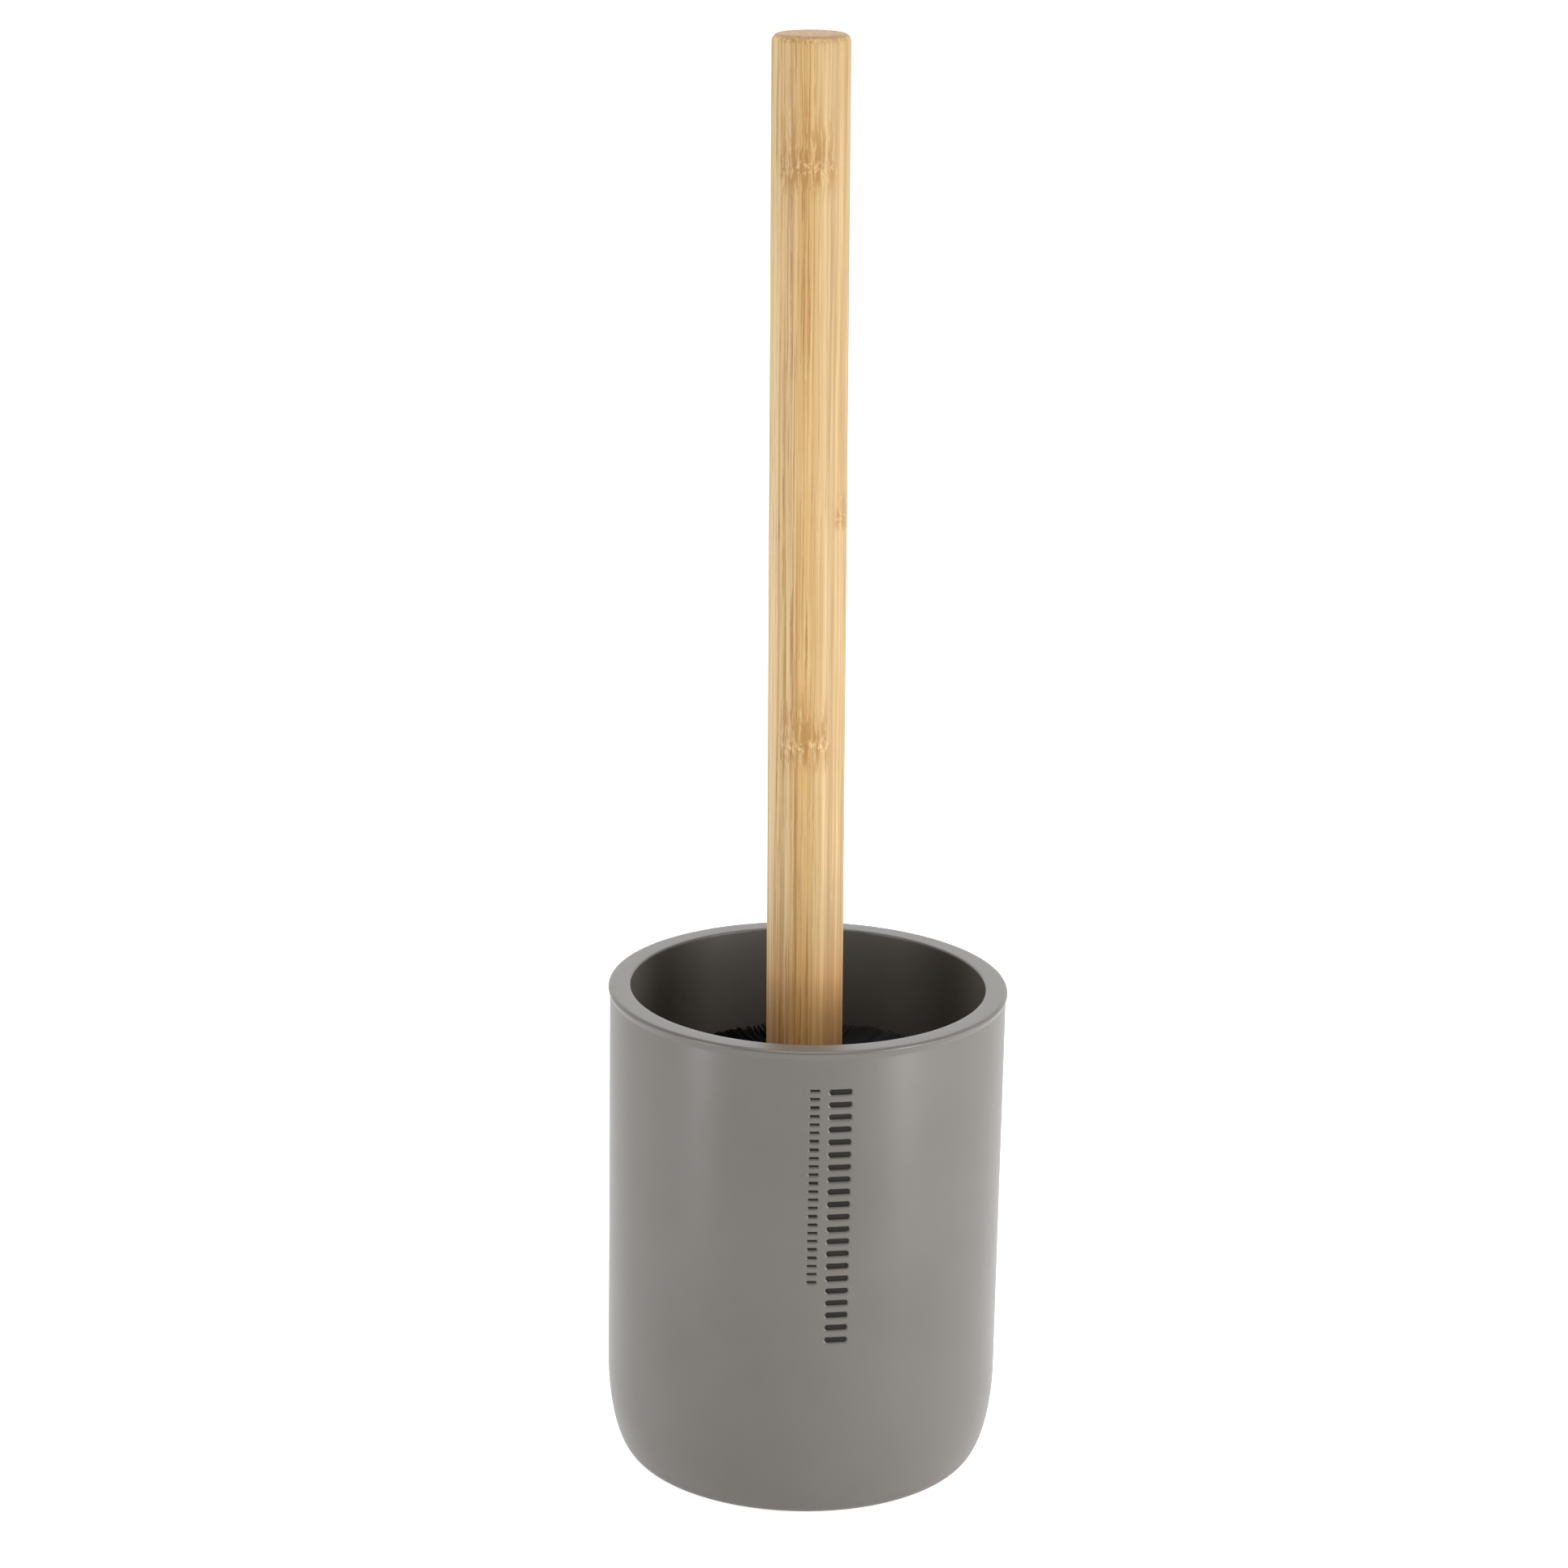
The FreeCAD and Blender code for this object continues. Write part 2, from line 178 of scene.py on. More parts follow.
class Nodes:
    """A short way to write a material's node tree."""

    def __init__(self, name):
        self.material = bpy.data.materials.new(name)
        self.material.use_nodes = True
        self.tree = self.material.node_tree
        self.shader = self.tree.nodes["Principled BSDF"]
        self.output = self.tree.nodes["Material Output"]

    def add(self, kind, **settings):
        node = self.tree.nodes.new(kind)
        for key, value in settings.items():
            setattr(node, key, value)
        return node

    def link(self, source, target):
        self.tree.links.new(source, target)

    def put(self, socket, value):
        if isinstance(value, bpy.types.NodeSocket):
            self.link(value, socket)
        else:
            socket.default_value = value

    def math(self, operation, first, second):
        node = self.add("ShaderNodeMath", operation=operation)
        self.put(node.inputs[0], first)
        self.put(node.inputs[1], second)
        return node.outputs[0]

    def coordinates(self):
        return self.add("ShaderNodeTexCoord").outputs["Object"]

    def scaled(self, vector, scale):
        node = self.add("ShaderNodeMapping")
        self.link(vector, node.inputs["Vector"])
        node.inputs["Scale"].default_value = scale
        return node.outputs[0]

    def noise(self, vector, scale, detail, roughness):
        node = self.add("ShaderNodeTexNoise")
        self.link(vector, node.inputs["Vector"])
        node.inputs["Scale"].default_value = scale
        node.inputs["Detail"].default_value = detail
        node.inputs["Roughness"].default_value = roughness
        return node.outputs["Fac"]

    def band(self, value, low, high, bottom=0.0, top=1.0, smooth=True):
        """The value carried from low..high to bottom..top and held at the ends."""
        node = self.add("ShaderNodeMapRange")
        node.interpolation_type = "SMOOTHSTEP" if smooth else "LINEAR"
        self.put(node.inputs["Value"], value)
        for key, number in (("From Min", low), ("From Max", high), ("To Min", bottom), ("To Max", top)):
            self.put(node.inputs[key], number)
        return node.outputs["Result"]

    def mix(self, factor, first, second, blend="MIX"):
        node = self.add("ShaderNodeMix", data_type="RGBA", blend_type=blend)
        self.put(node.inputs["Factor"], factor)
        self.put(node.inputs[6], first)
        self.put(node.inputs[7], second)
        return node.outputs[2]

    def bump(self, height, strength, distance):
        node = self.add("ShaderNodeBump")
        node.inputs["Strength"].default_value = strength
        node.inputs["Distance"].default_value = distance
        self.link(height, node.inputs["Height"])
        self.link(node.outputs["Normal"], self.shader.inputs["Normal"])

    def set(self, **values):
        for key, value in values.items():
            self.put(self.shader.inputs[key.replace("_", " ")], value)


def rgb(red, green, blue):
    return (red, green, blue, 1.0)


def resin_material():
    """Cast resin with a satin lacquer: nearly even warm grey, with painted shade making the sunk marks
    near black.
    """
    n = Nodes("satin_resin")
    place = n.coordinates()
    cloud = n.noise(place, 28.0, 3.0, 0.55)
    grain = n.noise(place, 1400.0, 2.0, 0.6)
    base = n.mix(n.band(cloud, 0.35, 0.65), rgb(0.113, 0.104, 0.093), rgb(0.121, 0.111, 0.100))
    speck = n.mix(n.band(grain, 0.60, 0.74, 0.0, 0.35), base, rgb(0.098, 0.090, 0.081))
    mark = n.add("ShaderNodeAttribute", attribute_name="mark").outputs["Fac"]
    # painted shade: the sunk marks are coloured near black, standing in for shade deeper than their
    # shallow recesses give, and their specular level is lowered
    shade = n.mix(n.band(mark, 0.3, 0.95, 0.0, 0.95), speck, rgb(0.013, 0.012, 0.011))
    n.link(shade, n.shader.inputs["Base Color"])
    n.link(n.band(cloud, 0.3, 0.7, 0.30, 0.34), n.shader.inputs["Roughness"])
    n.link(n.band(mark, 0.3, 0.95, 0.5, 0.12), n.shader.inputs["Specular IOR Level"])
    n.bump(n.math("ADD", n.math("MULTIPLY", cloud, 0.6), n.math("MULTIPLY", grain, 0.05)), 0.12, 0.0006)
    return n.material


def bamboo_material(growth_nodes):
    """Turned laminated bamboo. growth_nodes lists (height, left limit, right limit, reach up) of
    each growth node in the brush's own frame, in metres, the limits being places across the front."""
    n = Nodes("bamboo")
    place = n.add("ShaderNodeAttribute", attribute_name="place").outputs["Vector"]
    split = n.add("ShaderNodeSeparateXYZ")
    n.link(place, split.inputs[0])
    side, _, height = split.outputs

    # how near a point is to a growth node, on the strips that carry it
    near, line = 0.0, 0.0
    for level, left, right, reach in growth_nodes:
        above = n.band(height, level, level + reach, 1.0, 0.0)
        below = n.band(height, level - 0.45 * reach, level - 0.001)
        across = n.math("MULTIPLY", n.band(side, left - 0.001, left + 0.001),
                        n.band(side, right - 0.001, right + 0.001, 1.0, 0.0))
        near = n.math("MAXIMUM", near, n.math("MULTIPLY", n.math("MULTIPLY", above, below), across))
        thin = n.math("MULTIPLY", n.band(height, level - 0.0022, level - 0.0006),
                      n.band(height, level + 0.0006, level + 0.0024, 1.0, 0.0))
        line = n.math("MAXIMUM", line, n.math("MULTIPLY", thin, across))

    # fibres run along the rod and are pushed about near the growth nodes
    wobble = n.add("ShaderNodeTexNoise")
    n.link(n.scaled(place, (330.0, 330.0, 130.0)), wobble.inputs["Vector"])
    wobble.inputs["Scale"].default_value = 1.0
    wobble.inputs["Detail"].default_value = 3.0
    centred = n.add("ShaderNodeVectorMath", operation="SUBTRACT")
    n.link(wobble.outputs["Color"], centred.inputs[0])
    centred.inputs[1].default_value = (0.5, 0.5, 0.5)
    pushed = n.add("ShaderNodeVectorMath", operation="SCALE")
    n.link(centred.outputs[0], pushed.inputs[0])
    n.link(n.band(near, 0.0, 1.0, 0.0003, 0.0020), pushed.inputs["Scale"])
    bent = n.add("ShaderNodeVectorMath", operation="ADD")
    n.link(place, bent.inputs[0])
    n.link(pushed.outputs[0], bent.inputs[1])
    grain = bent.outputs[0]

    fine = n.noise(n.scaled(grain, (2300.0, 2300.0, 22.0)), 1.0, 2.0, 0.6)
    medium = n.noise(n.scaled(grain, (1150.0, 1150.0, 8.0)), 1.0, 2.0, 0.55)
    broad = n.noise(n.scaled(grain, (300.0, 300.0, 4.0)), 1.0, 1.0, 0.5)
    flame = n.noise(n.scaled(grain, (1300.0, 1300.0, 75.0)), 1.0, 2.0, 0.6)
    pits = n.noise(n.scaled(grain, (1100.0, 1100.0, 800.0)), 1.0, 2.0, 0.6)
    cut = n.noise(n.scaled(place, (1600.0, 1600.0, 1.0)), 1.0, 3.0, 0.7)

    # glued strips side by side, each with its own tone, with painted sheen along the left edge and painted
    # shade on the right strip
    tone = rgb(0.508, 0.322, 0.132)
    tone = n.mix(n.band(side, -0.0036, -0.0028, 1.0, 0.0), tone, rgb(0.556, 0.386, 0.190))
    # painted sheen: the left edge of the rod is made paler and greyer, as its lit edge looks
    tone = n.mix(n.band(side, -0.0090, -0.0066, 0.75, 0.0), tone, rgb(0.600, 0.470, 0.270))
    tone = n.mix(n.band(side, 0.0008, 0.0012), tone, rgb(0.494, 0.345, 0.163))
    # the darker right strip: its own tone, deepened by painted shade where the right-hand lamps fall
    tone = n.mix(n.band(side, 0.0046, 0.0052, 0.0, 0.85), tone, rgb(0.400, 0.268, 0.122))

    # fibres are denser on the left strips
    dense = n.band(side, 0.0006, 0.0014, 1.0, 0.55)
    fibres = (
        (n.band(broad, 0.35, 0.70, 0.0, 0.5), rgb(0.470, 0.295, 0.112)),
        (n.math("MULTIPLY", n.band(medium, 0.50, 0.66, 0.0, 0.62), dense), rgb(0.340, 0.185, 0.058)),
        (n.math("MULTIPLY", n.band(fine, 0.54, 0.66, 0.0, 0.80), dense), rgb(0.290, 0.150, 0.045)),
        (n.band(fine, 0.30, 0.45, 0.45, 0.0), rgb(0.660, 0.490, 0.270)),
        (n.band(medium, 0.30, 0.46, 0.40, 0.0), rgb(0.650, 0.475, 0.250)),
    )
    # a browner flame round each growth node and a pitted pale line across it
    core = n.math("MULTIPLY", near, near)
    growth = (
        (n.math("MULTIPLY", near, n.band(flame, 0.42, 0.58, 0.10, 0.70)), rgb(0.390, 0.215, 0.066)),
        (n.math("MULTIPLY", core, n.band(flame, 0.48, 0.56, 0.0, 0.75)), rgb(0.320, 0.165, 0.045)),
        (n.math("MULTIPLY", line, n.band(pits, 0.56, 0.66, 0.0, 0.7)), rgb(0.300, 0.160, 0.052)),
        (n.math("MULTIPLY", line, n.band(pits, 0.36, 0.46, 0.5, 0.0)), rgb(0.690, 0.510, 0.285)),
    )
    for share, colour in fibres + growth:
        tone = n.mix(share, tone, colour)

    # the lower end, inside the cup's mouth, is painted lighter and warmer: painted light making up for the
    # shade there; the end face shows cut fibres, darkened by painted shade
    # painted light: the part of the rod inside the mouth is lifted in tone and warmed
    mouth_painted_light = n.band(height, 0.107, 0.138, 1.0, 0.0)
    tone = n.mix(mouth_painted_light, tone, rgb(1.36, 1.12, 0.97), blend="MULTIPLY")
    end = n.band(height, 0.3522, 0.3530)
    # the end face: cut fibres of end grain, in a tone darkened as painted shade against the light from
    # above
    end_grain_and_painted_shade = n.math("MULTIPLY", end, n.band(cut, 0.45, 0.62, 0.65, 0.95))
    tone = n.mix(end_grain_and_painted_shade, tone, rgb(0.350, 0.200, 0.085))
    n.link(tone, n.shader.inputs["Base Color"])
    n.link(n.band(medium, 0.3, 0.7, 0.46, 0.58), n.shader.inputs["Roughness"])
    n.set(Specular_IOR_Level=0.35)
    relief = n.math("SUBTRACT", n.math("MULTIPLY", fine, 0.5), n.math("MULTIPLY", line, pits))
    n.bump(relief, 0.25, 0.0002)
    return n.material


def plastic_material(name, colour, roughness, grain_scale):
    """Moulded plastic with a fine moulded-in texture."""
    n = Nodes(name)
    place = n.coordinates()
    texture = n.noise(place, grain_scale, 3.0, 0.6)
    cloud = n.noise(place, 60.0, 2.0, 0.5)
    lighter = tuple(channel * 1.5 for channel in colour)
    n.link(n.mix(n.band(cloud, 0.35, 0.7), rgb(*colour), rgb(*lighter)), n.shader.inputs["Base Color"])
    n.link(n.band(texture, 0.3, 0.7, roughness - 0.06, roughness + 0.08), n.shader.inputs["Roughness"])
    n.bump(texture, 0.2, 0.0002)
    return n.material


def foam_material():
    """Closed-cell foam: matte, with small round cells."""
    n = Nodes("cell_foam")
    place = n.coordinates()
    cells = n.add("ShaderNodeTexVoronoi", feature="F1")
    n.link(place, cells.inputs["Vector"])
    cells.inputs["Scale"].default_value = 1100.0
    shade = n.band(cells.outputs["Distance"], 0.1, 0.6)
    n.link(n.mix(shade, rgb(0.018, 0.018, 0.018), rgb(0.040, 0.040, 0.041)), n.shader.inputs["Base Color"])
    n.set(Roughness=0.92)
    n.bump(cells.outputs["Distance"], 0.5, 0.0004)
    return n.material


def metal_material(name, colour, roughness):
    """Plated steel with faint drawing lines and cloudy plating."""
    n = Nodes(name)
    place = n.coordinates()
    cloud = n.noise(place, 300.0, 3.0, 0.6)
    lines = n.noise(n.scaled(place, (400.0, 400.0, 9000.0)), 1.0, 2.0, 0.5)
    darker = tuple(channel * 0.8 for channel in colour)
    n.link(n.mix(n.band(cloud, 0.3, 0.7), rgb(*colour), rgb(*darker)), n.shader.inputs["Base Color"])
    n.link(n.band(cloud, 0.3, 0.7, roughness - 0.05, roughness + 0.10), n.shader.inputs["Roughness"])
    n.set(Metallic=1.0)
    n.bump(lines, 0.08, 0.0001)
    return n.material


def bristle_material():
    """Black nylon filament, lighter towards the worn tips."""
    n = Nodes("nylon_bristle")
    along = n.add("ShaderNodeAttribute", attribute_name="along").outputs["Fac"]
    tint = n.add("ShaderNodeAttribute", attribute_name="tint").outputs["Fac"]
    base = n.mix(tint, rgb(0.005, 0.005, 0.005), rgb(0.009, 0.009, 0.009))
    worn = n.band(along, 0.7, 1.0, 0.0, 0.6)
    n.link(n.mix(worn, base, rgb(0.013, 0.012, 0.012)), n.shader.inputs["Base Color"])
    n.link(n.band(tint, 0.0, 1.0, 0.45, 0.60, smooth=False), n.shader.inputs["Roughness"])
    n.set(Specular_IOR_Level=0.22)
    return n.material


# ---------------------------------------------------------------- cup

def cup_profile():
    """(radius, height) from the middle of the inside floor, over the rim, to the recess below."""
    points = [(0.0, FLOOR_HEIGHT), (10.0, FLOOR_HEIGHT), (25.0, FLOOR_HEIGHT)]
    points += arc((FLOOR_RADIUS - FLOOR_FILLET, FLOOR_HEIGHT + FLOOR_FILLET), FLOOR_FILLET, -90, 0, 12)
    inner_low = FLOOR_HEIGHT + FLOOR_FILLET
    inner_top = RIM_HEIGHT - MOUTH_FILLET
    for share in (0.02, 0.25, 0.5, 0.75, 0.98):
        radius = FLOOR_RADIUS + share * (MOUTH_RADIUS - FLOOR_RADIUS)
        points.append((radius, inner_low + share * (inner_top - inner_low)))
    points += arc((MOUTH_RADIUS + MOUTH_FILLET, inner_top), MOUTH_FILLET, 180, 90, 8)
    rim_middle = (MOUTH_RADIUS + LIP_RADIUS) / 2
    points += [(rim_middle - 1.0, RIM_HEIGHT), (rim_middle + 1.0, RIM_HEIGHT)]
    points += arc((LIP_RADIUS - RIM_FILLET, RIM_HEIGHT - RIM_FILLET), RIM_FILLET, 90, 0, 7)
    lip_foot = RIM_HEIGHT - LIP_HEIGHT
    for share in np.linspace(0, 1, 9):
        ease = share * share * (3 - 2 * share)
        radius = LIP_RADIUS + ease * (WALL_TOP_RADIUS - LIP_RADIUS)
        points.append((radius, lip_foot - share * LIP_TAPER))
    taper_foot = lip_foot - LIP_TAPER
    marks_foot = MARKS_TOP - BARS["length"] - BARS["height"]
    wall_points = [taper_foot - 0.6, taper_foot - 2.5]
    wall_points += list(np.arange(MARKS_TOP + 1.0, marks_foot - 1.0, -0.3))
    corner_top = CUP_BOTTOM + CORNER_HEIGHT
    wall_points += [corner_top + 12.0, corner_top + 2.0]
    for height in wall_points:
        share = (height - corner_top) / (taper_foot - corner_top)
        points.append((WALL_LOW_RADIUS + share * (WALL_TOP_RADIUS - WALL_LOW_RADIUS), height))
    for angle in np.radians(np.linspace(0, 90, 41)):
        radius = WALL_LOW_RADIUS - CORNER_WIDTH + CORNER_WIDTH * math.cos(angle)
        points.append((radius, corner_top - CORNER_HEIGHT * math.sin(angle)))
    points += [(RECESS_RADIUS + 0.15, CUP_BOTTOM), (RECESS_RADIUS, CUP_BOTTOM + 0.15)]
    points += [(RECESS_RADIUS, PAD_TOP - 0.1), (RECESS_RADIUS - 0.1, PAD_TOP)]
    points += [(20.0, PAD_TOP), (0.0, PAD_TOP)]
    return points


def cup_angles():
    """Fine steps across the marks, coarse steps round the rest, in radians from the front."""
    fine = np.arange(0.2, 14.2, 0.26)
    coarse = np.linspace(14.4, 360.0, 216)
    return np.radians(np.concatenate([fine, coarse])).tolist()


def mark_depths(azimuths, heights):
    """How deep each point lies in a mark, 0 to 1, for the two columns of rounded marks."""
    deepest = np.zeros(len(azimuths))
    for column in (BARS, DASHES):
        half_height = column["height"] / 2
        half_width = math.radians(column["angle"]) * WALL_TOP_RADIUS / 2
        across = (azimuths - math.radians(column["azimuth"])) * WALL_TOP_RADIUS
        for index in range(column["count"]):
            middle = MARKS_TOP - half_height - index * column["length"] / (column["count"] - 1)
            beyond_x = np.abs(across) - (half_width - half_height)
            beyond_z = np.abs(heights - middle)
            distance = np.hypot(np.maximum(beyond_x, 0.0), beyond_z) - half_height
            share = np.clip(0.5 - distance / MARK_EDGE, 0.0, 1.0)
            deepest = np.maximum(deepest, share * share * (3 - 2 * share))
    return deepest


def build_cup(material):
    vertices, faces = lathe(cup_profile(), cup_angles())
    points = np.array(vertices)
    radii = np.hypot(points[:, 0], points[:, 1])
    azimuths = np.arctan2(points[:, 0], -points[:, 1])
    on_wall = (radii > WALL_LOW_RADIUS - 0.2) & (points[:, 2] < MARKS_TOP + 1.0)
    depths = np.where(on_wall, mark_depths(azimuths, points[:, 2]), 0.0)
    shrink = 1.0 - depths * MARK_DEPTH / np.maximum(radii, 1.0)
    points[:, 0] *= shrink
    points[:, 1] *= shrink
    cup = new_piece("cup_shell", points, faces, material, "cup")
    # the mark depths also set where the resin material paints shade into the marks
    mark = cup.data.attributes.new("mark", "FLOAT", "POINT")
    mark.data.foreach_set("value", depths.astype(np.float32))
    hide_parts("holder_cup")


# ---------------------------------------------------------------- handle and stud

def build_handle(material, placement):
    """The rod, with the stepped hole in its foot that holds the insert and the stud."""
    top = BRUSH_LENGTH
    foot = HANDLE_FOOT
    end_round, foot_round = 1.9, 0.6
    # radius and upper end of each step of the hole
    stud_hole, stud_end = 4.4, foot + 22.0
    insert_hole, insert_end = 5.62, foot + 12.52
    flange_hole, flange_end = 7.42, foot + 1.02
    profile = [(0.0, stud_end), (stud_hole, stud_end), (stud_hole, insert_end)]
    profile += [(insert_hole, insert_end), (insert_hole, flange_end)]
    profile += [(flange_hole, flange_end), (flange_hole, foot + 0.02), (flange_hole + 0.02, foot)]
    profile += arc((HANDLE_RADIUS - foot_round, foot + foot_round), foot_round, -90, 0, 5)
    profile += [(HANDLE_RADIUS, height) for height in np.linspace(foot + 1.0, top - end_round - 0.4, 120)]
    profile += arc((HANDLE_RADIUS - end_round, top - end_round), end_round, 0, 90, 9)
    profile += [(5.0, top), (2.0, top), (0.0, top)]
    vertices, faces = lathe(profile, even_angles(128))
    handle = new_piece("handle_rod", vertices, faces, material, "handle", placement)
    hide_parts("bamboo_handle")


def build_stud(material, placement):
    """The stud with its rolled thread."""
    low, high = 80.0, 114.0
    pitch, major, minor = 1.25, 3.95, 3.25
    angles = even_angles(48)
    heights = np.arange(low, high + 0.01, pitch / 12)
    vertices = [(0.0, 0.0, low)]
    for height in heights:
        to_end = min(height - low, high - height)
        limit = minor - 0.2 + min(to_end, 1.0) * (major - minor + 0.2)
        for angle in angles:
            phase = ((height - low) / pitch - angle / (2 * math.pi)) % 1.0
            crest = min(1.0, max(0.0, 2.4 * (0.5 - abs(phase - 0.5)) - 0.1))
            radius = min(minor + (major - minor) * crest, limit)
            vertices.append((radius * math.cos(angle), radius * math.sin(angle), height))
    vertices.append((0.0, 0.0, high))
    count = len(angles)
    faces = []
    for ring in range(len(heights) - 1):
        base = 1 + ring * count
        for index in range(count):
            following = (index + 1) % count
            faces.append((base + index, base + following, base + count + following, base + count + index))
    last = 1 + (len(heights) - 1) * count
    for index in range(count):
        following = (index + 1) % count
        faces.append((0, 1 + following, 1 + index))
        faces.append((len(vertices) - 1, last + index, last + following))
    stud = new_piece("stud_thread", vertices, faces, material, "stud", placement)
    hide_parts("threaded_stud")


# ---------------------------------------------------------------- bristles

FILAMENTS_PER_TUFT = 130
TOP_ROW_DENSITY = 3
FILAMENT_RADIUS = 0.19
FILAMENT_STEPS = 5
TUBE_SIDES = 3
ROOT_DEPTH = 3.0        # how far inside the core's surface a filament begins
ROOT_SPREAD = 0.85      # half the tuft's width at its root
SIDE_SPREAD = 5.7       # how much it widens to its tips, sideways
RISE_SPREAD = 2.3       # the same, up and down
SPLAY = 0.9             # how far the top row's tips are lifted on its splayed side
SPLAY_SIDE = 50.0       # direction of that side, in degrees from +X
GOLDEN_ANGLE = math.pi * (3 - math.sqrt(5))


def tuft_rings():
    """(node, tufts, degrees below level, reach, height of the ring's middle, turn in degrees)."""
    for row in range(ROW_COUNT):
        height = ROW_FIRST + row * (ROW_LAST - ROW_FIRST) / (ROW_COUNT - 1)
        turn = 180.0 / TUFTS_PER_ROW * (row % 2)
        yield f"bristle_row_{row + 1:02d}", TUFTS_PER_ROW, 0.0, TUFT_REACH, height, turn
    for node, count, angle, reach in CROWN:
        yield node, count, angle, reach, CORE_CENTRE, 0.0


def filament_line(draw, number, reach, lift):
    """Points of one filament in its tuft's frame: out along X, spreading and bending a little."""
    share = math.sqrt((number + 0.5) / FILAMENTS_PER_TUFT)
    around = number * GOLDEN_ANGLE + draw.uniform(-0.25, 0.25)
    sideways, upward = share * math.cos(around), share * math.sin(around)
    widest = max(abs(sideways), abs(upward))
    square = share / widest
    root = CORE_RADIUS - ROOT_DEPTH
    tip = reach - 0.1 - draw.uniform(0.0, 0.5) - 0.3 * share * share
    bend_side, bend_up = draw.normal(0.0, 0.16, 2)
    points = []
    for step in range(FILAMENT_STEPS + 1):
        along = step / FILAMENT_STEPS
        out = root + along * (tip - root)
        spread = max(0.0, (out - CORE_RADIUS) / (reach - CORE_RADIUS)) ** 1.15
        points.append((
            out,
            sideways * (ROOT_SPREAD + SIDE_SPREAD * square * spread) + bend_side * spread * spread,
            upward * (ROOT_SPREAD + RISE_SPREAD * square * spread) + (bend_up + lift) * spread * spread,
        ))
    return np.array(points)


def tube_mesh(lines, radius):
    """Three-sided tubes, closed at their tips, along many lines of equal length."""
    lines = np.asarray(lines)
    count, steps = lines.shape[:2]
    direction = lines[:, -1] - lines[:, 0]
    direction /= np.linalg.norm(direction, axis=1)[:, None]
    helper = np.where(np.abs(direction[:, 2:3]) < 0.9, [[0.0, 0.0, 1.0]], [[1.0, 0.0, 0.0]])
    first = np.cross(direction, helper)
    first /= np.linalg.norm(first, axis=1)[:, None]
    second = np.cross(direction, first)
    corners = []
    for corner in range(TUBE_SIDES):
        angle = 2 * math.pi * corner / TUBE_SIDES
        offset = radius * (math.cos(angle) * first + math.sin(angle) * second)
        corners.append(lines + offset[:, None, :])
    vertices = np.stack(corners, axis=2).reshape(-1, 3)
    faces = []
    for line in range(count):
        base = line * steps * TUBE_SIDES
        for step in range(steps - 1):
            low = base + step * TUBE_SIDES
            high = low + TUBE_SIDES
            for corner in range(TUBE_SIDES):
                following = (corner + 1) % TUBE_SIDES
                faces.append((low + corner, low + following, high + following, high + corner))
        tip = base + (steps - 1) * TUBE_SIDES
        faces.append((tip, tip + 1, tip + 2))
        faces.append((base, base + 2, base + 1))
    return vertices, faces


def tuft_turn(angle, height, azimuth):
    """From a tuft's frame, out along X, to the brush's frame."""
    dip = Matrix.Rotation(math.radians(angle), 4, "Y")
    turned = Matrix.Rotation(math.radians(azimuth), 4, "Z")
    return np.array(Matrix.Translation((0, 0, height)) @ turned @ dip)


def build_bristles(material, placement):
    """One piece of filaments for each bristle node."""
    draw = np.random.default_rng(SEED)
    for node, count, angle, reach, height, turn in tuft_rings():
        lines, tints = [], []
        top_row = math.isclose(height, ROW_LAST)
        for tuft in range(count):
            azimuth = turn + tuft * 360.0 / count
            place = tuft_turn(angle, height, azimuth)
            # the top row is fuller than the rest and is splayed up at one side
            lift = SPLAY * max(0.0, math.cos(math.radians(azimuth - SPLAY_SIDE))) if top_row else 0.0
            filaments = FILAMENTS_PER_TUFT * (TOP_ROW_DENSITY if top_row else 1)
            for number in range(filaments):
                line = filament_line(draw, number * FILAMENTS_PER_TUFT / filaments, reach, lift)
                lines.append(line @ place[:3, :3].T + place[:3, 3])
                tints.append(draw.uniform(0.0, 1.0))
        vertices, faces = tube_mesh(lines, FILAMENT_RADIUS)
        ring = new_piece(node.replace("bristle", "filaments"), vertices, faces, material, "brush_head",
                         placement, smooth=False)
        steps = FILAMENT_STEPS + 1
        along = np.tile(np.repeat(np.linspace(0, 1, steps), TUBE_SIDES), len(lines))
        tint = np.repeat(tints, steps * TUBE_SIDES)
        for name, values in (("along", along), ("tint", tint)):
            attribute = ring.data.attributes.new(name, "FLOAT", "POINT")
            attribute.data.foreach_set("value", values.astype(np.float32))
        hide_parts(node)


# ---------------------------------------------------------------- stage, light and camera

def plain_floor():
    """A white table, a hair below the pad so that the two faces don't meet."""
    mesh = bpy.data.meshes.new("floor")
    half = 14.0
    level = -0.05 * MM
    corners = [(-half, -half, level), (half, -half, level), (half, half, level), (-half, half, level)]
    mesh.from_pydata(corners, [], [(0, 1, 2, 3)])
    floor = bpy.data.objects.new("floor", mesh)
    bpy.context.scene.collection.objects.link(floor)
    n = Nodes("floor_white")
    n.set(Base_Color=rgb(0.90, 0.90, 0.90), Roughness=0.80, Specular_IOR_Level=0.2)
    n.set(Emission_Color=rgb(1.0, 1.0, 1.0))
    seen = n.add("ShaderNodeLightPath").outputs["Is Camera Ray"]
    n.link(n.band(seen, 0.0, 1.0, 0.38, 0.80, smooth=False), n.shader.inputs["Emission Strength"])
    # seen from below, the floor lets the underside of the holder show
    below = n.add("ShaderNodeNewGeometry").outputs["Backfacing"]
    clear = n.add("ShaderNodeBsdfTransparent")
    sided = n.add("ShaderNodeMixShader")
    n.link(below, sided.inputs[0])
    n.link(n.shader.outputs[0], sided.inputs[1])
    n.link(clear.outputs[0], sided.inputs[2])
    n.link(sided.outputs[0], n.output.inputs["Surface"])
    mesh.materials.append(n.material)


